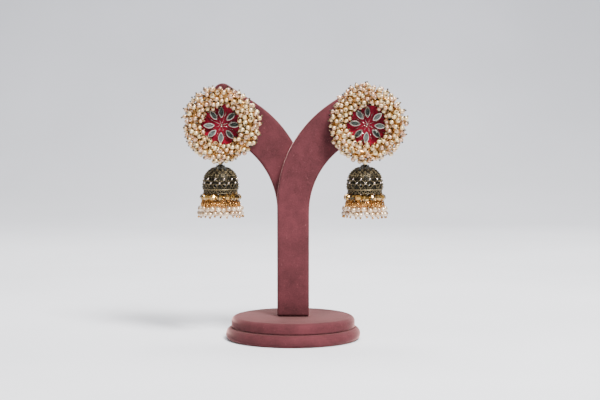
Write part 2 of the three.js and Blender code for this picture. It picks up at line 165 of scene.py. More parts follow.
class JhumkaSettings(bpy.types.PropertyGroup):
    """Everything that a user would change."""

    left_turn: turn_prop(
        "Left turn", "How far the left earring has turned on its post", 2.5
    )
    right_turn: turn_prop(
        "Right turn", "How far the right earring has turned on its post", 3.5
    )
    stand: PointerProperty(type=StandSettings)
    wreath: PointerProperty(type=WreathSettings)
    flower: PointerProperty(type=FlowerSettings)
    bell: PointerProperty(type=BellSettings)
    stage: PointerProperty(type=StageSettings)


def settings():
    return bpy.context.scene.jhumka


# Frames, in millimetres, in which the pieces are modelled


def middle(node):
    low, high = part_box(node)
    return (low + high) / 2


def face_frame(side):
    """Right, up and forwards from the middle of the wreath, at the back of the enamel dish."""
    turn = settings().left_turn if side == "left" else settings().right_turn
    right = Vector((math.cos(turn), 0, -math.sin(turn)))
    up = Vector((math.sin(turn), 0, math.cos(turn)))
    forwards = Vector((0, -1, 0))
    place = middle(f"{side}_pearl_wreath")
    place.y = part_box(f"{side}_enamel_dish")[1].y
    axes = Matrix((right, up, forwards)).transposed().to_4x4()
    return Matrix.Translation(place) @ axes @ Matrix.Scale(MM, 4)


def drop_frame(side):
    """Upwards from the foot of the bell's band, round the bell's axis."""
    place = middle(f"{side}_bell")
    place.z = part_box(f"{side}_bell")[0].z
    return Matrix.Translation(place) @ Matrix.Scale(MM, 4)


def levels(side, node):
    """Foot, top and outer radius of a ring of the drop, in its frame."""
    low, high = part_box(f"{side}_{node}")
    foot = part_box(f"{side}_bell")[0].z
    return (low.z - foot) / MM, (high.z - foot) / MM, (high.x - low.x) / 2 / MM


# Mesh helpers

UP = Vector((0, 0, 1))


def spoke(angle):
    """The level way out from the axis at an angle."""
    return Vector((math.cos(angle), math.sin(angle), 0))


def lathe(bm, outline, steps):
    """Spins an outline of (radius, height) points about Z and returns the new vertices."""
    before = set(bm.verts)
    line = [bm.verts.new((radius, 0, height)) for radius, height in outline]
    edges = [bm.edges.new(pair) for pair in zip(line, line[1:])]
    bmesh.ops.spin(
        bm, geom=line + edges, cent=(0, 0, 0), axis=(0, 0, 1), angle=TURN, steps=steps, use_merge=True
    )
    bmesh.ops.remove_doubles(bm, verts=[v for v in bm.verts if v not in before], dist=1e-5)
    made = [v for v in bm.verts if v not in before]
    bmesh.ops.recalc_face_normals(bm, faces=list({f for v in made for f in v.link_faces}))
    return made


def keep_mesh(bm, name="template"):
    """Turns a finished bmesh into a mesh. A template is only copied from."""
    mesh = bpy.data.meshes.new(name)
    bm.to_mesh(mesh)
    bm.free()
    return mesh


def lathe_mesh(outline, steps):
    bm = bmesh.new()
    lathe(bm, outline, steps)
    return keep_mesh(bm)


def ring_outline(radius, half_width, half_height, level, sides):
    """A closed oval section of a ring."""
    points = []
    for i in range(sides + 1):
        angle = -i / sides * TURN
        points.append((radius + half_width * math.cos(angle), level + half_height * math.sin(angle)))
    return points


def ring_mesh(radius, wire, steps, sides):
    """A wire ring about Z."""
    return lathe_mesh(ring_outline(radius, wire / 2, wire / 2, 0, sides), steps)


def ball_mesh(diameter, subdivisions):
    bm = bmesh.new()
    bmesh.ops.create_icosphere(bm, subdivisions=subdivisions, radius=diameter / 2)
    return keep_mesh(bm)


def rod_mesh(wire, sides):
    """A rod of unit length along Z."""
    bm = bmesh.new()
    bmesh.ops.create_cone(
        bm, cap_ends=True, segments=sides, radius1=wire / 2, radius2=wire / 2, depth=1,
        matrix=Matrix.Translation(UP / 2),
    )
    return keep_mesh(bm)


def add_copy(bm, template, place, tone=0.5):
    """Joins a copy of a small mesh. The tone is one number that its material reads."""
    copy = template.copy()
    copy.transform(place)
    layer = copy.attributes.new("tone", "FLOAT", "POINT")
    layer.data.foreach_set("value", [tone] * len(copy.vertices))
    bm.from_mesh(copy)
    bpy.data.meshes.remove(copy)


def facing(spot, direction, scale=1.0):
    """Places a template with its Z along a direction."""
    turned = direction.to_track_quat("Z", "Y").to_matrix().to_4x4()
    return Matrix.Translation(spot) @ turned @ Matrix.Scale(scale, 4)


def spanning(start, end):
    """Stretches a rod of unit length from one point to another."""
    along = end - start
    turned = along.to_track_quat("Z", "Y").to_matrix().to_4x4()
    return Matrix.Translation(start) @ turned @ Matrix.Diagonal((1, 1, along.length, 1))


def apply_modifiers(context, piece):
    """Gives the piece the mesh that its modifiers make of its own, and returns it."""
    context.view_layer.update()
    evaluated = piece.evaluated_get(context.evaluated_depsgraph_get())
    shaped = bpy.data.meshes.new_from_object(evaluated)
    piece.modifiers.clear()
    piece.data = shaped
    return shaped


def show(name, data):
    """Puts a mesh, a light or a camera into the scene as an object."""
    piece = bpy.data.objects.new(name, data)
    bpy.context.scene.collection.objects.link(piece)
    return piece


def add_piece(name, bm, place, materials, body, replaced=(), sharp=None):
    """Puts a mesh into the frame as a named piece on its body. Edges above the angle stay sharp."""
    bm.transform(place)
    mesh = keep_mesh(bm, name)
    for surface in materials:
        mesh.materials.append(surface)
    mesh.shade_smooth()
    if sharp is not None:
        mesh.set_sharp_from_angle(angle=math.radians(sharp))
    piece = show(name, mesh)
    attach(piece, body)
    if replaced:
        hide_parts(*replaced)
    return piece


def face_piece(side, name, bm, materials, replaced=(), sharp=None):
    """A piece of an earring's face, which stays still on its post."""
    nodes = [f"{side}_{node}" for node in replaced]
    return add_piece(f"{side}_{name}", bm, face_frame(side), materials, "root", nodes, sharp)


def drop_piece(side, name, bm, materials, replaced=(), sharp=None):
    """A piece of an earring's drop, which swings with the bell."""
    nodes = [f"{side}_{node}" for node in replaced]
    return add_piece(
        f"{side}_{name}", bm, drop_frame(side), materials, f"{side}_drop", nodes, sharp
    )


# Materials


def fill_node(tree, node, entries):
    """Sets a node's properties and inputs. Another node's output is linked to the input."""
    for key, value in entries.items():
        if isinstance(key, str) and hasattr(node, key):
            setattr(node, key, value)
        elif isinstance(value, bpy.types.NodeSocket):
            tree.links.new(value, node.inputs[key])
        else:
            node.inputs[key].default_value = value


def add_node(tree, kind, entries, output=0):
    """Adds a node with its settings and links, and returns an output. A colour Mix has it at 2."""
    node = tree.nodes.new(f"ShaderNode{kind}")
    fill_node(tree, node, entries)
    return node.outputs[output]


def new_surface(name):
    """An empty material, its nodes and its Object coordinates."""
    surface = bpy.data.materials.new(name)
    surface.use_nodes = True
    return surface, surface.node_tree, add_node(surface.node_tree, "TexCoord", {}, "Object")


def finish_surface(surface, entries):
    """Fills the material's own shader, whose sockets hold what is the same all over."""
    fill_node(surface.node_tree, surface.node_tree.nodes["Principled BSDF"], entries)
    return surface


def rgba(colour, share=1.0):
    """A colour, or a share of its light, as a node takes it."""
    return (*(share * channel for channel in colour), 1)


def velvet_cloth():
    """Cotton velvet. Its pile scatters light softly and glows at the edges, and its nap lies in patches."""
    look = settings().stand
    surface, tree, spot = new_surface("velvet")
    # Nap patches 12 mm across and pile specks of 0.5 mm, coarser than real pile so that they show.
    nap = add_node(tree, "TexNoise", {"Vector": spot, "Scale": 85, "Detail": 4, "Roughness": 0.6})
    pile = add_node(tree, "TexNoise", {"Vector": spot, "Scale": 1900, "Detail": 2})
    both = add_node(tree, "Math", {"operation": "MULTIPLY_ADD", 0: pile, 1: 0.45, 2: nap})
    patches = add_node(tree, "MapRange", {"Value": both, "From Min": 0.5, "From Max": 0.94})
    brushed = add_node(
        tree, "Mix", {"data_type": "RGBA", 0: patches, 6: rgba(look.velvet_shade), 7: rgba(look.velvet)}, 2
    )
    # Lint and crushed pile: sparse pale specks under 1 mm.
    lint = add_node(tree, "TexNoise", {"Vector": spot, "Scale": 700, "Detail": 3, "Distortion": 1.5})
    specks = add_node(tree, "MapRange", {"Value": lint, "From Min": 0.64, "From Max": 0.95})
    flecked = add_node(tree, "Mix", {"data_type": "RGBA", 0: specks, 6: brushed, 7: rgba(look.lint)}, 2)
    bump = add_node(tree, "Bump", {"Height": both, "Strength": 0.35, "Distance": 0.0003})
    return finish_surface(surface, {
        "Base Color": flecked, "Normal": bump, "Roughness": 0.92, "Specular IOR Level": 0.15,
        "Sheen Weight": 1.0, "Sheen Roughness": 0.32, "Sheen Tint": rgba(look.velvet_sheen),
    })


def antique_brass(name, wear):
    """Gold-plated brass, blackened and then rubbed: dark hollows, warm high spots by each grain's tone."""
    look = settings().bell
    surface, tree, spot = new_surface(name)
    tone = add_node(tree, "Attribute", {"attribute_name": "tone"}, "Fac")
    # Tarnish in specks of 0.8 mm.
    tarnish = add_node(tree, "TexNoise", {"Vector": spot, "Scale": 1200, "Detail": 3})
    specks = add_node(tree, "MapRange", {"Value": tarnish, "From Min": 0.35, "From Max": 0.75})
    worn = add_node(
        tree, "Math", {"operation": "MULTIPLY_ADD", "use_clamp": True, 0: specks, 1: 0.8, 2: tone}
    )
    rubbed = add_node(tree, "MapRange", {"Value": worn, "From Min": 0.25 - wear, "From Max": 1.25})
    plate = add_node(
        tree, "Mix", {"data_type": "RGBA", 0: rubbed, 6: rgba(look.oxide), 7: rgba(look.worn_gold)}, 2
    )
    bump = add_node(tree, "Bump", {"Height": tarnish, "Strength": 0.3, "Distance": 0.0001})
    return finish_surface(
        surface, {"Base Color": plate, "Normal": bump, "Metallic": 0.85, "Roughness": 0.42}
    )


def bright_wire(name, colour, dull):
    """Polished plated wire. Where the plating is thin only that dull share of its colour is left."""
    surface, tree, spot = new_surface(name)
    # Patches of 3 mm.
    plating = add_node(tree, "TexNoise", {"Vector": spot, "Scale": 330, "Detail": 2})
    patches = add_node(tree, "MapRange", {"Value": plating, "From Min": 0.35, "From Max": 0.65})
    mixed = add_node(
        tree, "Mix", {"data_type": "RGBA", 0: patches, 6: rgba(colour, dull), 7: rgba(colour)}, 2
    )
    bump = add_node(tree, "Bump", {"Height": plating, "Strength": 0.15, "Distance": 0.00005})
    return finish_surface(
        surface, {"Base Color": mixed, "Normal": bump, "Metallic": 1.0, "Roughness": 0.24}
    )


def pearl_coat(name, dull, common, pale):
    """Glass beads in pearl lacquer: soft colours that differ from bead to bead under a thin clear gloss."""
    surface, tree, spot = new_surface(name)
    tone = add_node(tree, "Attribute", {"attribute_name": "tone"}, "Fac")
    lower = add_node(tree, "MapRange", {"Value": tone, "From Min": 0.0, "From Max": 0.5})
    upper = add_node(tree, "MapRange", {"Value": tone, "From Min": 0.5, "From Max": 1.0})
    darker = add_node(tree, "Mix", {"data_type": "RGBA", 0: lower, 6: rgba(dull), 7: rgba(common)}, 2)
    bead = add_node(tree, "Mix", {"data_type": "RGBA", 0: upper, 6: darker, 7: rgba(pale)}, 2)
    # Lacquer that pooled in streaks about 1 mm across.
    pooled = add_node(tree, "TexNoise", {"Vector": spot, "Scale": 900, "Detail": 1})
    streaks = add_node(tree, "MapRange", {"Value": pooled, "From Min": 0.42, "From Max": 0.72})
    tint = rgba(settings().wreath.pooled)
    coat = add_node(
        tree, "Mix", {"data_type": "RGBA", "blend_type": "MULTIPLY", 0: streaks, 6: bead, 7: tint}, 2
    )
    return finish_surface(surface, {
        "Base Color": coat, "Metallic": 0.38, "Roughness": 0.22,
        "Coat Weight": 1.0, "Coat Roughness": 0.1, "Coat IOR": 2.3,
    })


def red_enamel():
    """Fired enamel with a satin skin: deep where its tone is low, clouded, with a faint orange peel."""
    look = settings().flower
    surface, tree, spot = new_surface("crimson enamel")
    tone = add_node(tree, "Attribute", {"attribute_name": "tone"}, "Fac")
    # Clouds 2 mm across.
    cloud = add_node(tree, "TexNoise", {"Vector": spot, "Scale": 500, "Detail": 3})
    mixed = add_node(
        tree, "Math", {"operation": "MULTIPLY_ADD", "use_clamp": True, 0: cloud, 1: 0.5, 2: tone}
    )
    bright = add_node(tree, "MapRange", {"Value": mixed, "From Min": 0.2, "From Max": 1.1})
    melt = add_node(
        tree, "Mix", {"data_type": "RGBA", 0: bright, 6: rgba(look.crimson_deep), 7: rgba(look.crimson)}, 2
    )
    bump = add_node(tree, "Bump", {"Height": cloud, "Strength": 0.2, "Distance": 0.00008})
    return finish_surface(surface, {
        "Base Color": melt, "Normal": bump, "Roughness": 0.5, "Specular IOR Level": 0.14,
        "Coat Weight": 0.03,
    })


def foil_glass(name, colour, roughness):
    """Flat glass on crinkled silver foil: a dark mirror with slow changes of grey and green."""
    surface, tree, spot = new_surface(name)
    # Crinkles 2.4 mm apart.
    crinkle = add_node(tree, "TexNoise", {"Vector": spot, "Scale": 420, "Detail": 2})
    clouds = add_node(tree, "MapRange", {"Value": crinkle, "From Min": 0.4, "From Max": 0.62})
    mixed = add_node(
        tree, "Mix", {"data_type": "RGBA", 0: clouds, 6: rgba(colour, 0.4), 7: rgba(colour)}, 2
    )
    bump = add_node(tree, "Bump", {"Height": crinkle, "Strength": 0.25, "Distance": 0.0001})
    return finish_surface(surface, {
        "Base Color": mixed, "Normal": bump, "Metallic": 0.9, "Roughness": roughness, "Coat Weight": 0.5,
    })


def cut_glass():
    """Gold-lustred glass with painted reflections. Each facet has its own tone between the glass lit and in
    shade, as facets throw different parts of the room.
    """
    look = settings().bell
    surface, tree, spot = new_surface("gold cut glass")
    tone = add_node(tree, "Attribute", {"attribute_name": "facet_light"}, "Fac")
    # Lustre in clouds 1.7 mm across.
    lustre = add_node(tree, "TexNoise", {"Vector": spot, "Scale": 600, "Detail": 1})
    mixed = add_node(
        tree, "Math", {"operation": "MULTIPLY_ADD", "use_clamp": True, 0: lustre, 1: 0.3, 2: tone}
    )
    glass = add_node(
        tree, "Mix", {"data_type": "RGBA", 0: mixed, 6: rgba(look.glass_shaded_olive), 7: rgba(look.glass_lit_gold)}, 2
    )
    return finish_surface(surface, {
        "Base Color": glass, "Metallic": 0.8, "Roughness": 0.12, "Coat Weight": 0.8,
        "Coat Roughness": 0.04,
    })


def stage_paper():
    """Matt backdrop paper with a barely visible mottle, and painted shade that darkens it towards the wall.
    """
    look = settings().stage
    surface, tree, spot = new_surface("backdrop paper")
    # Mottle in patches of 200 mm.
    mottle = add_node(tree, "TexNoise", {"Vector": spot, "Scale": 5, "Detail": 3})
    patches = add_node(tree, "MapRange", {"Value": mottle, "From Min": 0.35, "From Max": 0.65})
    paper = add_node(
        tree, "Mix", {"data_type": "RGBA", 0: patches, 6: rgba(look.floor, 0.93), 7: rgba(look.floor)}, 2
    )
    # Painted shade: it starts 0.1 m behind the stand and is full at 1.22 m.
    away = add_node(tree, "SeparateXYZ", {0: spot}, "Y")
    share = add_node(tree, "MapRange", {"Value": away, "From Min": 0.1, "From Max": 1.22})
    far = add_node(tree, "Math", {"operation": "POWER", 0: share, 1: 2.2})
    tint = rgba(look.far_painted_shade)
    shaded = add_node(
        tree, "Mix", {"data_type": "RGBA", "blend_type": "MULTIPLY", 0: far, 6: paper, 7: tint}, 2
    )
    return finish_surface(
        surface, {"Base Color": shaded, "Roughness": 0.95, "Specular IOR Level": 0.1}
    )


# The stand


class JHUMKA_OT_base(bpy.types.Operator):
    """Makes the two round padded tiers of the base."""

    bl_idname = "jhumka.base"
    bl_label = "Base"

    # The edges' roundings, at the foot and at the top of each tier.
    TIERS = (("base_foot", 2.3, 3.3), ("base_plinth", 0.6, 2.6))
    ARC_STEPS = 8

    def execute(self, context):
        cloth = velvet_cloth()
        for node, lower, upper in self.TIERS:
            low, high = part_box(node)
            radius = (high.x - low.x) / 2 / MM
            bottom, top = low.z / MM, high.z / MM
            outline = [(0, bottom)]
            for rounding, centre, start in ((lower, bottom + lower, -90), (upper, top - upper, 0)):
                for step in range(self.ARC_STEPS + 1):
                    angle = math.radians(start + step * 90 / self.ARC_STEPS)
                    reach = radius - rounding + rounding * math.cos(angle)
                    outline.append((reach, centre + rounding * math.sin(angle)))
            # A ring halfway in keeps the shading of the flat top even.
            outline += [(radius / 2, top), (0, top)]
            bm = bmesh.new()
            lathe(bm, outline, 120)
            add_piece(f"{node}_velvet", bm, Matrix.Scale(MM, 4), [cloth], "root", [node])
        return {"FINISHED"}


class JHUMKA_OT_boards(bpy.types.Operator):
    """Wraps the two J-shaped boards in velvet with soft edges."""

    bl_idname = "jhumka.boards"
    bl_label = "Boards"

    def execute(self, context):
        cloth = velvet_cloth()
        for node in ("front_board", "back_board"):
            bm = bmesh.new()
            bm.from_mesh(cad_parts[node].data)
            bmesh.ops.remove_doubles(bm, verts=bm.verts, dist=1e-6)
            piece = show(f"{node}_velvet", keep_mesh(bm))
            skin = piece.modifiers.new("skin", "REMESH")
            skin.mode = "VOXEL"
            skin.voxel_size = settings().stand.cloth_voxel
            skin.use_smooth_shade = True
            ease = piece.modifiers.new("ease", "SMOOTH")
            ease.factor = 0.5
            ease.iterations = 6
            shaped = apply_modifiers(context, piece)
            shaped.materials.clear()
            shaped.materials.append(cloth)
            shaped.shade_smooth()
            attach(piece, "root")
            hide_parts(node)
        return {"FINISHED"}


# The earrings' faces

# How far the dish's back lies in front of the eye's middle.
DISH_LIFT = 1.6


class JHUMKA_OT_back_plates(bpy.types.Operator):
    """Makes each earring's round back plate with its ear post and the eye for the drop."""

    bl_idname = "jhumka.back_plates"
    bl_label = "Back plates"

    PLATE = {"back": -1.3, "front": -0.3, "rim": 0.3}
    POST = {"radius": 0.45, "height": 6.0}
    EYE = {"radius": 1.3, "wire": 0.7}

    def execute(self, context):
        metal = antique_brass("plate brass", 0.05)
        back, front, rim = self.PLATE.values()
        for side in SIDES:
            low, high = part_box(f"{side}_back_plate")
            radius = (high.x - low.x) / 2 / MM
            inward = face_frame(side).inverted()
            centre = face_frame(side).translation
            tail = (inward @ Vector((centre.x, high.y, centre.z))).z
            foot = (inward @ Vector((centre.x, centre.y, low.z))).y + self.EYE["wire"] / 2
            bm = bmesh.new()
            outline = [
                (0, back), (radius - rim, back), (radius, back + rim),
                (radius, front - rim), (radius - rim, front), (0, front),
            ]
            lathe(bm, outline, 96)
            post = rod_mesh(2 * self.POST["radius"], 16)
            start = Vector((0, self.POST["height"], tail))
            add_copy(bm, post, spanning(start, Vector((0, self.POST["height"], back + rim))))
            eye = ring_mesh(self.EYE["radius"], self.EYE["wire"], 36, 12)
            spot = Vector((0, foot + self.EYE["radius"], -DISH_LIFT))
            add_copy(bm, eye, facing(spot, Vector((1, 0, 0))))
            face_piece(side, "plate_brass", bm, [metal], ["back_plate"], 40)
        return {"FINISHED"}


class JHUMKA_OT_enamel_dishes(bpy.types.Operator):
    """Makes the fluted crimson dishes with their silver rays."""

    bl_idname = "jhumka.enamel_dishes"
    bl_label = "Enamel dishes"

    # The dish, how far its enamel lies under the rim, and four times its sag halfway out.
    THICKNESS = 1.1
    SUNK = 0.1
    SAG = 0.25
    ROWS = 14
    # Where a silver ray starts and ends, between two stones, and how far it lies above the enamel.
    RAY = (0.2, 8.6)
    RAY_LIFT = 0.08
    # Grains of the knot in the middle: distance, share of a turn, diameter.
    KNOT = ((0, 0, 0.65), (0.5, 0.05, 0.4), (0.5, 0.4, 0.35))

    def surface(self, radius, reach, around):
        """Height of the enamel above the dish's back. The angle starts at the topmost stone."""
        share = radius / reach
        wave = math.cos(STONES * around) * settings().flower.flute / MM
        return self.THICKNESS - self.SUNK + wave * share - self.SAG * share * (1 - share)

    def execute(self, context):
        look = settings().flower
        enamel = red_enamel()
        silver = bright_wire("silver wire", look.silver, 0.5)
        knot = [ball_mesh(diameter, 2) for _, _, diameter in self.KNOT]
        for side in SIDES:
            low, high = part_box(f"{side}_enamel_dish")
            reach = (high.x - low.x) / 2 / MM
            bm = bmesh.new()
            tone = bm.verts.layers.float.new("tone")
            top = [(reach * i / self.ROWS, self.THICKNESS) for i in range(self.ROWS, -1, -1)]
            for vert in lathe(bm, [(0, 0), (reach, 0), *top], 160):
                if vert.co.z > self.THICKNESS / 2:
                    radius = vert.co.xy.length
                    around = math.atan2(vert.co.x, vert.co.y)
                    vert.co.z = self.surface(radius, reach, around)
                    # Deep in the middle, and deeper under the stones and rays than beside them.
                    vert[tone] = 0.1 + (0.32 - 0.15 * math.cos(2 * STONES * around)) * radius / reach
            face_piece(side, "enamel_flower", bm, [enamel], ["enamel_dish"], 50)
            rays = self.rays(side, reach)
            for ball, (distance, turn, _) in zip(knot, self.KNOT):
                across, along = math.sin(turn * TURN), math.cos(turn * TURN)
                spot = Vector((distance * across, distance * along, self.THICKNESS))
                add_copy(rays, ball, Matrix.Translation(spot))
            face_piece(side, "silver_rays", rays, [silver])
        return {"FINISHED"}

    def rays(self, side, reach):
        """Fine wires laid on the enamel, each a little bent and of its own length."""
        draw = random.Random(f"{side} rays")
        rays = bmesh.new()
        rod = rod_mesh(settings().flower.ray / MM, 6)
        near, far = self.RAY
        for i in range(STONES):
            around = (i + 0.5) / STONES * TURN + math.radians(draw.uniform(-4, 4))
            bend = math.radians(draw.uniform(-1, 1))
            radii = [near, (near + far) / 2, far * draw.uniform(0.75, 1.0)]
            points = []
            for radius, angle in zip(radii, (around, around + bend, around + bend / 2)):
                level = self.surface(radius, reach, angle) + self.RAY_LIFT
                points.append(Vector((radius * math.sin(angle), radius * math.cos(angle), level)))
            for start, end in zip(points, points[1:]):
                add_copy(rays, rod, spanning(start, end))
        return rays


class JHUMKA_OT_marquise_stones(bpy.types.Operator):
    """Sets the eight marquise stones of each flower in their collars."""

    bl_idname = "jhumka.marquise_stones"
    bl_label = "Marquise stones"

    LENGTH = 6.0
    WIDTH = 2.9
    SEGMENTS = 28
    # Half the width that is left at a stone's tips.
    TIP = 0.02
    # Where a stone sits: its distance from the flower's middle and its back's height.
    RING = 6.6
    BACK = 1.6
    # Rings from the wall's foot inwards: share of the width, share of the length, rise, surface.
    RINGS = (
        (1, 1, 1.05, 0), (0.88, 0.94, 0.05, 0), (0.84, 0.91, -0.2, 0), (0.64, 0.72, 0.4, 1),
    )
    # The share of the silver's colour that the collars keep, and that the bevels keep as a painted
    # highlight.
    COLLAR_SHARE = 0.64
    BEVEL_HIGHLIGHT_SHARE = 0.72

    def stone_mesh(self):
        """One stone: the collar's wall and lip, the bevelled crown and the flat table."""
        bm = bmesh.new()
        bmesh.ops.create_circle(bm, cap_ends=True, segments=self.SEGMENTS, radius=self.LENGTH / 2)
        arc = (self.LENGTH**2 + self.WIDTH**2) / (4 * self.WIDTH)
        for vert in bm.verts:
            half = math.sqrt(arc**2 - vert.co.y**2) - arc + self.WIDTH / 2
            vert.co.x = math.copysign(max(half, self.TIP), vert.co.x)
        top = bm.faces[:]
        keep = True
        wide = long = 1
        for width, length, rise, surface in self.RINGS:
            made = bmesh.ops.extrude_face_region(bm, geom=top, use_keep_orig=keep)["geom"]
            verts = [part for part in made if isinstance(part, bmesh.types.BMVert)]
            top = [part for part in made if isinstance(part, bmesh.types.BMFace)]
            bmesh.ops.scale(bm, verts=verts, vec=(width / wide, length / long, 1))
            bmesh.ops.translate(bm, verts=verts, vec=UP * rise)
            for face in {f for vert in verts for f in vert.link_faces}:
                face.material_index = surface
            keep, wide, long = False, width, length
        for face in top:
            face.material_index = 2
        bmesh.ops.recalc_face_normals(bm, faces=bm.faces)
        return keep_mesh(bm)

    def execute(self, context):
        look = settings().flower
        collar = bright_wire("collar silver", look.silver * self.COLLAR_SHARE, 0.6)
        # Painted highlight: the bevels are the same foil glass as the table, coloured lighter for the light
        # their slope catches.
        bevel_highlight = foil_glass("foil bevel", look.silver * self.BEVEL_HIGHLIGHT_SHARE, 0.25)
        table = foil_glass("foil table", look.foil, 0.24)
        template = self.stone_mesh()
        for side in SIDES:
            draw = random.Random(f"{side} stones")
            bm = bmesh.new()
            for i in range(STONES):
                tip = Matrix.Rotation(math.radians(draw.uniform(-5, 5)), 4, "X")
                lean = Matrix.Rotation(math.radians(draw.uniform(-6, 6)), 4, "Y")
                turned = Matrix.Rotation(-i / STONES * TURN + math.radians(draw.uniform(-4, 4)), 4, "Z")
                spot = Matrix.Translation((0, self.RING, self.BACK))
                add_copy(bm, template, turned @ spot @ tip @ lean)
            nodes = [f"marquise_{i + 1}" for i in range(STONES)]
            face_piece(side, "set_stones", bm, [collar, bevel_highlight, table], nodes, 20)
        return {"FINISHED"}


# The wreaths

WREATH = {"reach": 5.2, "front": 5.2, "back": 3.6}
# How far pearls lean in over the dish, past the CAD's ring.
OVERHANG = 0.7
# The wreath's uneven outline: height of each wave, how many go round it, and its turn.
WAVES = ((0.35, 3, 1.3), (0.3, 7, 0.4))
# Where pearls crowd outwards: the angle, its spread and how far they stand out.
CROWDS = {"left": (2.6, 0.4, 0.5), "right": (1.62, 0.45, 1.4)}
# Pearls lie in two layers: how far below the wreath's skin, and how often a place is tried.
LAYERS = ((0.0, 5200), (1.75, 2600))
# How near two pearls' middles may come, in pearls.
NEAREST = 0.97
# From behind the outer rim, over the front, to behind the inner rim.
WREATH_ROLL = (math.radians(-62), math.radians(222))


def wreath_ring(side):
    """Radius of the wreath's middle circle."""
    low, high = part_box(f"{side}_pearl_wreath")
    return (high.x - low.x) / 2 / MM - WREATH["reach"]


def wreath_spot(ring, around, roll, depth):
    """A point of the wreath, that deep under its skin, and the way out of the skin there."""
    high_half = WREATH["front"] if math.sin(roll) > 0 else WREATH["back"]
    lean = OVERHANG if math.cos(roll) < 0 else 0
    out = ring + (WREATH["reach"] + lean - depth) * math.cos(roll)
    level = WREATH["back"] + (high_half - depth) * math.sin(roll)
    way = (spoke(around) * math.cos(roll) + UP * math.sin(roll)).normalized()
    return spoke(around) * out + UP * level, way


def swerved(draw, way, spread):
    """A direction near another one."""
    return (way + Vector([draw.gauss(0, spread) for _ in range(3)])).normalized()


def wreath_pearls(side):
    """Places of a wreath's pearls, none nearer to another than their width, and their pins' ways."""
    draw = random.Random(f"{side} wreath")
    pearl = settings().wreath.pearl / MM
    ring = wreath_ring(side)
    crowd, spread, bulge = CROWDS[side]
    places = []
    for layer, tries in LAYERS:
        for _ in range(tries):
            around = draw.uniform(0, TURN)
            roll = draw.uniform(*WREATH_ROLL)
            depth = layer + pearl / 2 + draw.uniform(-0.55, 0.45)
            depth -= sum(size * math.sin(count * around + turn) for size, count, turn in WAVES)
            if math.cos(roll) > 0:
                depth -= bulge * math.exp(-(((around - crowd) / spread) ** 2))
            spot, way = wreath_spot(ring, around, roll, depth)
            way = swerved(draw, way, 0.55)
            if all((spot - other).length > NEAREST * pearl for other, _ in places):
                places.append((spot, way))
    return places


class JHUMKA_OT_wreath_pearls(bpy.types.Operator):
    """Strews each wreath with pearls."""

    bl_idname = "jhumka.wreath_pearls"
    bl_label = "Wreath pearls"

    # The one long, rice-shaped pearl at the right wreath's rim.
    RICE_SPOT = Vector((-14.7, 13.0, 5.6))
    RICE_WAY = Vector((-1, 0.25, 0.3))
    RICE_SHAPE = Matrix.Diagonal((0.85, 0.85, 1.9, 1))

    def execute(self, context):
        look = settings().wreath
        lacquer = pearl_coat("cream pearl lacquer", look.blush, look.cream, look.snow)
        bead = ball_mesh(look.pearl / MM, 3)
        for side in SIDES:
            draw = random.Random(f"{side} pearl tones")
            bm = bmesh.new()
            for spot, way in wreath_pearls(side):
                add_copy(bm, bead, facing(spot, way, draw.uniform(0.93, 1.05)), draw.random())
            if side == "right":
                add_copy(bm, bead, facing(self.RICE_SPOT, self.RICE_WAY) @ self.RICE_SHAPE, 0.1)
            face_piece(side, "wreath_pearls", bm, [lacquer], ["pearl_wreath"])
        return {"FINISHED"}


class JHUMKA_OT_wreath_pins(bpy.types.Operator):
    """Threads the wreath's pearls on headpins round a wire core."""

    bl_idname = "jhumka.wreath_pins"
    bl_label = "Wreath pins"

    # Half the core's width, its height for that width, and the diameter of a loop.
    CORE = 2.3
    CORE_SHAPE = 0.8
    LOOP = 1.5
    # How far a pin runs on behind its pearl.
    TAIL = 1.6
    # At the wreath's foot, pins that stand out at the back or past the rim are cut off, as the
    # bell swings there.
    FOOT = {"top": -11.5, "back": 2.4, "front": 8.4, "rim": 19.7}

    def cut_off(self, end):
        past_rim = end.xy.length > self.FOOT["rim"] and end.z < self.FOOT["front"]
        return end.y < self.FOOT["top"] and (past_rim or end.z < self.FOOT["back"])

    def execute(self, context):
        look = settings().wreath
        pearl, wire = look.pearl / MM, look.wire / MM
        metal = antique_brass("pin brass", 0.08)
        gold = bright_wire("loop gold", settings().bell.wire_gold, 0.45)
        rod = rod_mesh(wire, 6)
        tip = ball_mesh(look.tip / MM, 2)
        loop = ring_mesh(self.LOOP / 2, wire, 12, 5)
        for side in SIDES:
            draw = random.Random(f"{side} pins")
            pins = bmesh.new()
            for spot, way in wreath_pearls(side):
                end = spot + way * (pearl / 2 + draw.uniform(0.3, 0.6))
                if not self.cut_off(end):
                    add_copy(pins, rod, spanning(spot - way * (pearl / 2 + self.TAIL), end), 0.9)
                    add_copy(pins, tip, Matrix.Translation(end), draw.uniform(-0.1, 0.3))
            face_piece(side, "wreath_pins", pins, [metal])
            ring = wreath_ring(side)
            loops = bmesh.new()
            core = ring_outline(ring, self.CORE, self.CORE * self.CORE_SHAPE, WREATH["back"], 16)
            lathe(loops, core, 96)
            for _ in range(look.loops):
                depth = draw.uniform(1.6, 2.7)
                around = draw.uniform(0, TURN)
                spot, way = wreath_spot(ring, around, draw.uniform(*WREATH_ROLL), depth)
                way = swerved(draw, way, 0.8)
                add_copy(loops, loop, facing(spot, way, draw.uniform(0.7, 1.15)))
            face_piece(side, "wreath_loops", loops, [gold])
        return {"FINISHED"}


# The drops

# The dome's outline: share of its height down from the crown, and share of the bell's radius.
DOME = (
    (0, 0.25), (0.03, 0.37), (0.07, 0.48), (0.12, 0.58), (0.18, 0.67), (0.25, 0.755), (0.32, 0.82),
    (0.4, 0.875), (0.48, 0.92), (0.56, 0.95), (0.65, 0.975), (0.74, 0.99), (0.82, 1), (0.91, 0.998),
    (1, 0.985),
)
BELL = {"radius": 9.6, "band": 2.1, "dome": 11.8, "wall": 0.8, "skin": 0.35}
BELL_LOOP = {"radius": 1.1, "wire": 0.7}
# The row of round holes: how many, their share down the dome and their radius.
PIERCINGS = 12
PIERCING_SHARE = 0.82
PIERCING_RADIUS = 0.85


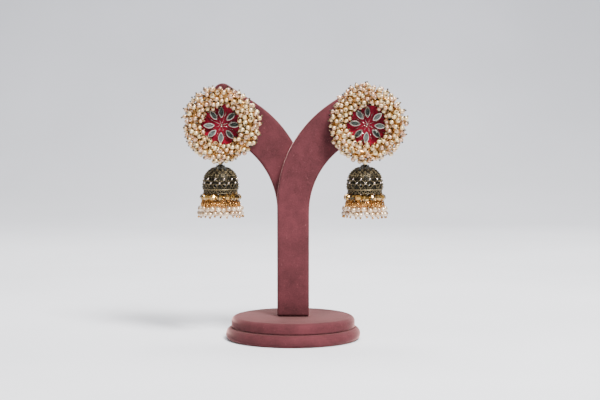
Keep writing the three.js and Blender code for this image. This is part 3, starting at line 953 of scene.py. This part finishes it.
def dome_point(share):
    """Radius and height of the dome's outside at a share of its height down from the crown."""
    for (upper, near), (lower, far) in zip(DOME, DOME[1:]):
        if share <= lower:
            part = (share - upper) / (lower - upper)
            reach = near + (far - near) * part
            break
    height = BELL["band"] + BELL["dome"] * (1 - share)
    return (BELL["radius"] * reach - BELL["skin"], height)


def dome_place(share, turn, lift=0.0, roll=0.0):
    """Places a template on the dome with its Z outwards and its Y up the slope."""
    above = dome_point(max(share - 0.02, 0))
    below = dome_point(min(share + 0.02, 1))
    radius, height = dome_point(share)
    slope = Vector((above[0] - below[0], above[1] - below[1])).normalized()
    level = spoke(turn * TURN)
    up = level * slope.x + UP * slope.y
    out = level * slope.y - UP * slope.x
    axes = Matrix((up.cross(out), up, out)).transposed().to_4x4()
    spot = level * radius + UP * height + out * lift
    return Matrix.Translation(spot) @ axes @ Matrix.Rotation(roll, 4, "Z")


class JHUMKA_OT_links(bpy.types.Operator):
    """Makes the round ring between each eye and its bell."""

    bl_idname = "jhumka.links"
    bl_label = "Links"

    WIRE = 0.8

    def execute(self, context):
        metal = antique_brass("link brass", 0.1)
        for side in SIDES:
            node = f"{side}_link"
            low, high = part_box(node)
            bm = bmesh.new()
            ring = ring_mesh((high.x - low.x) / 2 / MM - self.WIRE / 2, self.WIRE, 48, 14)
            add_copy(bm, ring, facing(middle(node) / MM, Vector((0, 1, 0))), 0.3)
            add_piece(f"{node}_ring", bm, Matrix.Scale(MM, 4), [metal], node, [node])
        return {"FINISHED"}


class JHUMKA_OT_bells(bpy.types.Operator):
    """Raises the pierced domes with their bands and crowns."""

    bl_idname = "jhumka.bells"
    bl_label = "Bells"

    ROWS = 30
    # How far the band lies in from the bell's radius.
    BAND_INSET = 0.75
    # The roof inside, below the crown's edge, and the button on it: (radius, height) above that edge.
    ROOF = 0.9
    BUTTON = ((1.4, 0.4), (0.8, 0.8), (0, 0.8))

    def execute(self, context):
        metal = antique_brass("dome brass", -0.25)
        wall = BELL["wall"]
        outside = [dome_point(i / self.ROWS) for i in range(self.ROWS + 1)]
        inside = [(radius - wall, height - wall * 0.8) for radius, height in outside]
        crown = outside[0][1]
        band = BELL["radius"] - self.BAND_INSET
        outline = [
            (0, crown - self.ROOF), *inside, (band - wall, 0), (band, 0), (band, BELL["band"]),
            *reversed(outside), *((radius, crown + rise) for radius, rise in self.BUTTON),
        ]
        for side in SIDES:
            bm = bmesh.new()
            lathe(bm, outline, 120)
            piece = drop_piece(side, "bell_dome", bm, [metal], ["bell"], 45)
            self.pierce(context, piece, side)
        return {"FINISHED"}

    def pierce(self, context, piece, side):
        """Cuts the row of round holes through the dome."""
        bm = bmesh.new()
        for i in range(PIERCINGS):
            place = dome_place(PIERCING_SHARE, (i + 0.5) / PIERCINGS)
            bmesh.ops.create_cone(
                bm, cap_ends=True, segments=20, radius1=PIERCING_RADIUS, radius2=PIERCING_RADIUS, depth=3,
                matrix=place,
            )
        bm.transform(drop_frame(side))
        cutter = show("cutter", keep_mesh(bm))
        cut = piece.modifiers.new("piercings", "BOOLEAN")
        cut.object = cutter
        cut.solver = "EXACT"
        apply_modifiers(context, piece)
        bpy.data.objects.remove(cutter)


class JHUMKA_OT_filigree(bpy.types.Operator):
    """Lays grains, scales, leaves, knobs and wires on the domes, and makes their crowns and loops."""

    bl_idname = "jhumka.filigree"
    bl_label = "Filigree"

    # Rows of grains: share down the dome, how many, size in grains, tone.
    GRAINS = (
        (0.97, 54, 0.85, 0.35), (0.91, 48, 0.6, 0.0), (0.62, 60, 0.7, 0.1), (0.575, 36, 0.6, -0.1),
        (0.48, 48, 0.75, 0.1), (0.44, 48, 0.6, -0.1), (0.31, 40, 0.75, 0.1), (0.2, 32, 0.75, 0.1),
        (0.1, 22, 0.75, 0.05),
    )
    # Rows of horseshoe scales: share down the dome, how many, their size. One is a ring with a grain.
    SCALES = ((0.375, 16, 1.15), (0.255, 14, 1.0), (0.15, 12, 0.85))
    SCALE = {"radius": 0.72, "wire": 0.36}
    # Rows of leaves that stand off the dome: share down the dome and how many. One is a long grain.
    LEAVES = (
        (0.1, 14), (0.17, 22), (0.24, 28), (0.31, 32), (0.39, 34), (0.47, 36), (0.6, 38), (0.77, 24),
        (0.89, 36),
    )
    LEAF = Matrix.Rotation(math.radians(-30), 4, "X") @ Matrix.Diagonal((0.55, 1.6, 0.7, 1))
    # Rows of knobs: share down the dome, turn in piercings, size. A knob is oval and leans.
    KNOBS = ((0.7, 0.0, 0.85), (0.53, 0.5, 0.95))
    KNOB = (0.72, 1.35, 0.62)
    # The lattice round the piercings: where its wires start, and where they end above and below.
    LATTICE = ((0.7, 0.53), (0.7, 0.95))
    WIRE = 0.34
    # How high the middles of what lies on the dome are above its skin.
    LIFT = {"grain": 0.16, "scale": 0.2, "leaf": 0.34, "knob": 0.2, "collar": 0.05, "wire": 0.12}
    # The band's rim wires: level, inset from the bell's radius, thickness, tone.
    RIMS = ((BELL["band"], 0.3, 0.5, 0.85), (0.2, 0.6, 0.46, 0.1))
    # The zigzag between them: how many, inset, lower and upper level.
    ZIGZAGS = 26
    ZIGZAG = (0.68, 0.35, 1.8)
    # Petals round the crown, and the size of one in grains.
    PETALS = 12
    PETAL = Matrix.Diagonal((0.9, 2.4, 0.9, 1))
    # The flared cap under the loop, as (radius, height) points.
    CAP = ((0.6, 14.2), (0.95, 15.1), (1.25, 15.1), (1.5, 14.7), (2.2, 14.25), (3.1, 13.6))
    # The cap's four horns: their turns, reach, height, outward lean and size in grains.
    HORN_TURNS = (0.06, 0.44, 0.56, 0.94)
    HORN = {"reach": 2.0, "height": 14.4, "lean": 0.45}
    HORN_SHAPE = Matrix.Diagonal((0.8, 0.8, 2.2, 1))

    def execute(self, context):
        look = settings().bell
        metal = antique_brass("filigree brass", 0.12)
        bright = bright_wire("knob silver", look.knob_silver, 0.75)
        grain = ball_mesh(look.grain / MM, 2)
        knob = ball_mesh(look.knob / MM, 3)
        rod = rod_mesh(self.WIRE, 6)
        loop = ring_mesh(BELL_LOOP["radius"], BELL_LOOP["wire"], 36, 12)
        rims = [ring_mesh(BELL["radius"] - inset, thick, 120, 8) for _, inset, thick, _ in self.RIMS]
        cap = lathe_mesh(self.CAP, 24)
        for side in SIDES:
            draw = random.Random(f"{side} filigree")
            bm = bmesh.new()
            self.rows(bm, grain, draw)
            knobs = bmesh.new()
            for share, offset, size in self.KNOBS:
                stretch = Matrix.Diagonal((*(size * part for part in self.KNOB), 1))
                for i in range(PIERCINGS):
                    turn = (i + offset) / PIERCINGS
                    place = dome_place(share, turn, self.LIFT["knob"], draw.uniform(-0.7, -0.3))
                    add_copy(knobs, knob, place @ stretch)
            self.lattice(bm, rod)
            for rim, (level, _, _, tone) in zip(rims, self.RIMS):
                add_copy(bm, rim, Matrix.Translation(UP * level), tone)
            self.zigzag(bm, rod, draw)
            self.petals(bm, grain, draw)
            add_copy(bm, cap, Matrix(), -0.1)
            self.horns(bm, grain)
            add_copy(bm, loop, facing(self.loop_spot(side), Vector((1, 0, 0))), 0.2)
            drop_piece(side, "bell_filigree", bm, [metal])
            drop_piece(side, "bell_knobs", knobs, [bright])
        return {"FINISHED"}

    def rows(self, bm, grain, draw):
        """The rows of grains, scales and leaves."""
        scale = ring_mesh(self.SCALE["radius"], self.SCALE["wire"], 16, 6)
        for share, count, size, tone in self.GRAINS:
            for i in range(count):
                place = dome_place(share, (i + draw.uniform(-0.1, 0.1)) / count, self.LIFT["grain"])
                add_copy(bm, grain, place @ Matrix.Scale(size, 4), tone + draw.uniform(-0.25, 0.35))
        for share, count, size in self.SCALES:
            for i in range(count):
                place = dome_place(share, (i + 0.5) / count, self.LIFT["scale"])
                add_copy(bm, scale, place @ Matrix.Scale(size, 4), draw.uniform(0.1, 0.5))
                add_copy(bm, grain, place @ Matrix.Scale(0.9, 4), draw.uniform(0.3, 0.9))
        for share, count in self.LEAVES:
            for i in range(count):
                turn = (i + draw.uniform(0.3, 0.7)) / count
                place = dome_place(share, turn, self.LIFT["leaf"], draw.uniform(-0.7, 0.7))
                add_copy(bm, grain, place @ self.LEAF, draw.uniform(-0.3, 0.5))

    def lattice(self, bm, rod):
        """A collar round each piercing, in the diamonds of a wire lattice."""
        collar = ring_mesh(PIERCING_RADIUS + 0.12, self.WIRE, 20, 6)
        for i in range(PIERCINGS):
            turn = (i + 0.5) / PIERCINGS
            add_copy(bm, collar, dome_place(PIERCING_SHARE, turn, self.LIFT["collar"]), 0.3)
            for start in (i, i + 1):
                for upper, lower in self.LATTICE:
                    first = dome_place(upper, start / PIERCINGS, self.LIFT["wire"]).translation
                    last = dome_place(lower, turn, self.LIFT["wire"]).translation
                    add_copy(bm, rod, spanning(first, last), 0.4)

    def zigzag(self, bm, rod, draw):
        """The wire between the band's rims."""
        inset, *levels_of_ends = self.ZIGZAG
        for i in range(2 * self.ZIGZAGS):
            ends = []
            for step in (i, i + 1):
                level = levels_of_ends[step % 2]
                way = spoke(step / 2 / self.ZIGZAGS * TURN)
                ends.append(way * (BELL["radius"] - inset) + UP * level)
            add_copy(bm, rod, spanning(*ends), 0.55 + draw.uniform(-0.2, 0.3))

    def petals(self, bm, grain, draw):
        """A ring of drop-shaped petals round the crown."""
        for i in range(self.PETALS):
            place = dome_place(0.06, i / self.PETALS, self.LIFT["wire"])
            add_copy(bm, grain, place @ self.PETAL, draw.uniform(0.1, 0.4))

    def horns(self, bm, grain):
        """Four blunt horns that stand up round the loop."""
        horn = self.HORN
        for turn in self.HORN_TURNS:
            way = spoke(turn * TURN)
            place = facing(way * horn["reach"] + UP * horn["height"], way * horn["lean"] + UP)
            add_copy(bm, grain, place @ self.HORN_SHAPE, 0.15)

    def loop_spot(self, side):
        """Middle of the crown's loop, whose top is the bell's highest point."""
        low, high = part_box(f"{side}_bell")
        return UP * ((high.z - low.z) / MM - BELL_LOOP["wire"] / 2 - BELL_LOOP["radius"])


class JHUMKA_OT_cut_beads(bpy.types.Operator):
    """Strings the faceted glass beads under each band."""

    bl_idname = "jhumka.cut_beads"
    bl_label = "Cut beads"

    FACETS = 8
    # Half a bead's outline: share of its radius, and share of its half length from its middle.
    OUTLINE = ((0, 1), (0.3, 1), (0.68, 0.8), (0.92, 0.45), (1, 0.12))
    # Large enough that two rows of facets differ by more than a turn in their order.
    ROW_WEIGHT = 100

    def facet_order(self, face):
        """Orders facets by their row along the bead, and then round it."""
        centre = face.calc_center_median()
        return self.ROW_WEIGHT * centre.z + math.atan2(centre.y, centre.x)

    def execute(self, context):
        glass = cut_glass()
        count = settings().bell.cut_beads
        for side in SIDES:
            draw = random.Random(f"{side} cut beads")
            low, high, outer = levels(side, "cut_beads")
            radius = (high - low) / 2
            ring = outer - radius
            half = math.pi * ring / count
            outline = [(share * radius, -part * half) for share, part in self.OUTLINE]
            outline += [(reach, -level) for reach, level in reversed(outline)]
            bead = bmesh.new()
            lathe(bead, outline, self.FACETS)
            # The painted facet lights below go by the faces' order, which a spin leaves different in each
            # run.
            bead.faces.sort(key=self.facet_order)
            template = keep_mesh(bead)
            bm = bmesh.new()
            for i in range(count):
                around = i / count * TURN
                spot = spoke(around) * ring + UP * (low + high) / 2
                roll = Matrix.Rotation(draw.uniform(0, 0.8), 4, "Z")
                add_copy(bm, template, facing(spot, spoke(around + TURN / 4)) @ roll)
            piece = drop_piece(side, "glass_beads", bm, [glass], ["cut_beads"])
            mesh = piece.data
            mesh.shade_flat()
            facet_light = mesh.attributes.new("facet_light", "FLOAT", "FACE")
            # Painted reflections: each bead and each facet gets a share between the lit gold and the shaded
            # olive.
            beads = [draw.random() for _ in range(count)]
            faces = len(mesh.polygons) // count
            facet_lights = [beads[i // faces] * 0.6 + draw.uniform(-0.6, 0.45) for i in range(count * faces)]
            facet_light.data.foreach_set("value", facet_lights)
        return {"FINISHED"}


class JHUMKA_OT_wire_loops(bpy.types.Operator):
    """Hangs the ring of orange-gold wire loops."""

    bl_idname = "jhumka.wire_loops"
    bl_label = "Wire loops"

    COUNT = 30
    WIRE = 0.52
    # The core that the loops hang on: inset, half width, half height, and its rise over their middle.
    CORE = {"inset": 1.3, "width": 0.5, "height": 1.35, "rise": 0.5}
    # The loops' middles lie this far in, and they reach this much past the solid's foot and top.
    INSET = 0.7
    SPARE = 0.15

    def execute(self, context):
        gold = bright_wire("orange gold wire", settings().bell.wire_gold, 0.5)
        core = self.CORE
        for side in SIDES:
            draw = random.Random(f"{side} loops")
            low, high, outer = levels(side, "wire_loops")
            centre = (low + high) / 2
            loop = ring_mesh((high - low) / 2 - self.WIRE / 2 + self.SPARE, self.WIRE, 16, 6)
            bm = bmesh.new()
            inside = outer - core["inset"]
            section = ring_outline(inside, core["width"], core["height"], centre + core["rise"], 12)
            lathe(bm, section, 72)
            for i in range(2 * self.COUNT):
                around = (i / 2 + draw.uniform(-0.15, 0.15)) / self.COUNT * TURN
                radius = outer - self.INSET + draw.uniform(-0.15, 0.15)
                level = centre + draw.uniform(-0.25, 0.25)
                sideways = spoke(around + TURN / 4) * (0.8 if i % 2 else -0.8)
                way = spoke(around) * draw.uniform(0.4, 1) + sideways + UP * draw.uniform(-0.4, 0.4)
                spot = spoke(around) * radius + UP * level
                add_copy(bm, loop, facing(spot, way, draw.uniform(0.8, 1)))
            drop_piece(side, "gold_loops", bm, [gold], ["wire_loops"])
        return {"FINISHED"}


class JHUMKA_OT_pearl_fringe(bpy.types.Operator):
    """Hangs the rows of fringe pearls with their pin tips."""

    bl_idname = "jhumka.pearl_fringe"
    bl_label = "Pearl fringe"

    # Rows of pearls: share of the fringe's height, distance in from its rim, how many fewer than in
    # a full row, and whether its tips show.
    ROWS = ((0.87, 1.35, 0, False), (0.42, 1.2, 0, True), (0.55, 3.1, 6, True))
    PEARL = 2.85
    # How far from the bell's axis the pins hang on its band, and how high.
    HANGER = (8.2, 9.3)
    HANGER_LEVEL = 0.3

    def execute(self, context):
        look = settings().bell
        lacquer = pearl_coat("white pearl lacquer", look.fringe_grey, look.fringe_white, look.fringe_pale)
        dark_gold = bright_wire("fringe tip gold", look.wire_gold, 0.3)
        gold = bright_wire("fringe wire", look.wire_gold, 0.5)
        bead = ball_mesh(self.PEARL, 3)
        tip = ball_mesh(settings().wreath.tip / MM, 2)
        rod = rod_mesh(settings().wreath.wire / MM, 6)
        for side in SIDES:
            draw = random.Random(f"{side} fringe")
            low, high, outer = levels(side, "pearl_fringe")
            pearls, pins, wires = bmesh.new(), bmesh.new(), bmesh.new()
            for row, (share, inset, fewer, tipped) in enumerate(self.ROWS):
                count = look.fringe_pearls - fewer
                for i in range(count):
                    out = spoke((i + row / 2 + draw.uniform(-0.12, 0.12)) / count * TURN)
                    level = low + (high - low) * share + draw.uniform(-0.35, 0.35)
                    spot = out * (outer - inset + draw.uniform(-0.25, 0.2)) + UP * level
                    way = (out * draw.uniform(0, 0.6) - UP).normalized()
                    add_copy(pearls, bead, facing(spot, way, draw.uniform(0.92, 1.02)), draw.random())
                    if tipped:
                        end = spot + way * (self.PEARL / 2 + draw.uniform(0.15, 0.4))
                        size = Matrix.Scale(draw.uniform(1.05, 1.45), 4)
                        add_copy(pins, tip, Matrix.Translation(end) @ size, draw.uniform(0.2, 0.8))
                    hanger = out * draw.uniform(*self.HANGER) + UP * self.HANGER_LEVEL
                    add_copy(wires, rod, spanning(spot, hanger))
            drop_piece(side, "fringe_pearls", pearls, [lacquer], ["pearl_fringe"])
            drop_piece(side, "fringe_tips", pins, [dark_gold])
            drop_piece(side, "fringe_wires", wires, [gold])
        return {"FINISHED"}


# The stage


class JHUMKA_OT_stage(bpy.types.Operator):
    """Sets the pale backdrop, the soft lights and the camera."""

    bl_idname = "jhumka.stage"
    bl_label = "Stage"

    # The camera's place in metres, its lens and sensor in millimetres. It looks 3.62 degrees down.
    CAMERA = {"place": (0.0036, -0.78, 0.1226), "lens": 89, "sensor": 36}
    PITCH = math.radians(90 - 3.62)
    # The sweep: where the floor starts, where it turns up, the turn's radius, its height and half width.
    SWEEP = {"front": -1.6, "turn": 0.75, "radius": 0.5, "height": 1.6, "half": 2.2}
    KEY = {"place": (0.36, -0.6, 0.93), "aim": (0, 0, 0.09), "size": 0.32}
    FILL = {"place": (-0.7, -0.9, 0.55), "aim": (0, 0, 0.08), "size": 0.9}
    WALL = {"place": (0, 0.45, 0.85), "aim": (0, 0.75, 0), "size": 0.6}

    def execute(self, context):
        self.sweep()
        look = settings().stage
        self.soft_box("key", look.key_power, **self.KEY)
        self.soft_box("fill", look.fill_power, **self.FILL)
        self.soft_box("wall", look.wall_power, **self.WALL)
        world = bpy.data.worlds.new("even light")
        world.use_nodes = True
        background = world.node_tree.nodes["Background"]
        background.inputs["Color"].default_value = rgba(look.sky_tint)
        background.inputs["Strength"].default_value = look.sky
        context.scene.world = world
        camera = bpy.data.cameras.new("camera")
        camera.lens = self.CAMERA["lens"]
        camera.sensor_width = self.CAMERA["sensor"]
        viewer = show("camera", camera)
        viewer.location = self.CAMERA["place"]
        viewer.rotation_euler = (self.PITCH, 0, 0)
        context.scene.camera = viewer
        return {"FINISHED"}

    def sweep(self):
        """One sheet of paper: the floor, a wide turn and the wall."""
        sweep = self.SWEEP
        bm = bmesh.new()
        floor_end = bm.verts.new((-sweep["half"], sweep["turn"], 0))
        front = bm.verts.new((-sweep["half"], sweep["front"], 0))
        bm.edges.new((front, floor_end))
        centre = (0, sweep["turn"], sweep["radius"])
        bmesh.ops.spin(
            bm, geom=[floor_end], cent=centre, axis=(1, 0, 0), angle=math.pi / 2, steps=24
        )
        last = max(bm.verts, key=lambda vert: (vert.co.z, vert.co.y))
        top = bm.verts.new((-sweep["half"], last.co.y, sweep["height"]))
        bm.edges.new((last, top))
        side = bmesh.ops.extrude_edge_only(bm, edges=bm.edges[:])
        verts = [v for v in side["geom"] if isinstance(v, bmesh.types.BMVert)]
        bmesh.ops.translate(bm, verts=verts, vec=(2 * sweep["half"], 0, 0))
        mesh = keep_mesh(bm, "sweep")
        mesh.materials.append(stage_paper())
        mesh.shade_smooth()
        paper = show("sweep", mesh)

    def soft_box(self, name, power, place, aim, size):
        """A square area light at its place, turned to what it lights."""
        light = bpy.data.lights.new(name, "AREA")
        light.energy = power
        light.size = size
        lamp = show(name, light)
        lamp.location = place
        lamp.rotation_euler = (Vector(place) - Vector(aim)).to_track_quat("Z", "Y").to_euler()


class JHUMKA_PT_pieces(bpy.types.Panel):
    """Lists the pieces in the order in which they are made."""

    bl_label = "Jhumka earrings"
    bl_idname = "JHUMKA_PT_pieces"
    bl_space_type = "VIEW_3D"
    bl_region_type = "UI"
    bl_category = "Jhumka"

    def draw(self, context):
        for operator in OPERATORS:
            self.layout.operator(operator.bl_idname)
        for group in ("stand", "wreath", "flower", "bell", "stage"):
            box = self.layout.box()
            box.label(text=group.capitalize())
            values = getattr(context.scene.jhumka, group)
            for name in values.bl_rna.properties.keys():
                if name not in ("rna_type", "name"):
                    box.prop(values, name)


GROUPS = (StandSettings, WreathSettings, FlowerSettings, BellSettings, StageSettings, JhumkaSettings)
OPERATORS = (
    JHUMKA_OT_stage,
    JHUMKA_OT_base,
    JHUMKA_OT_boards,
    JHUMKA_OT_back_plates,
    JHUMKA_OT_enamel_dishes,
    JHUMKA_OT_marquise_stones,
    JHUMKA_OT_wreath_pearls,
    JHUMKA_OT_wreath_pins,
    JHUMKA_OT_links,
    JHUMKA_OT_bells,
    JHUMKA_OT_filigree,
    JHUMKA_OT_cut_beads,
    JHUMKA_OT_wire_loops,
    JHUMKA_OT_pearl_fringe,
)


def register():
    for group in (*GROUPS, *OPERATORS, JHUMKA_PT_pieces):
        bpy.utils.register_class(group)
    bpy.types.Scene.jhumka = PointerProperty(type=JhumkaSettings)


def unregister():
    del bpy.types.Scene.jhumka
    for group in reversed((*GROUPS, *OPERATORS, JHUMKA_PT_pieces)):
        bpy.utils.unregister_class(group)


def main():
    register()
    for operator in OPERATORS:
        group, name = operator.bl_idname.split(".")
        getattr(getattr(bpy.ops, group), name)()


if __name__ == "__main__":
    main()
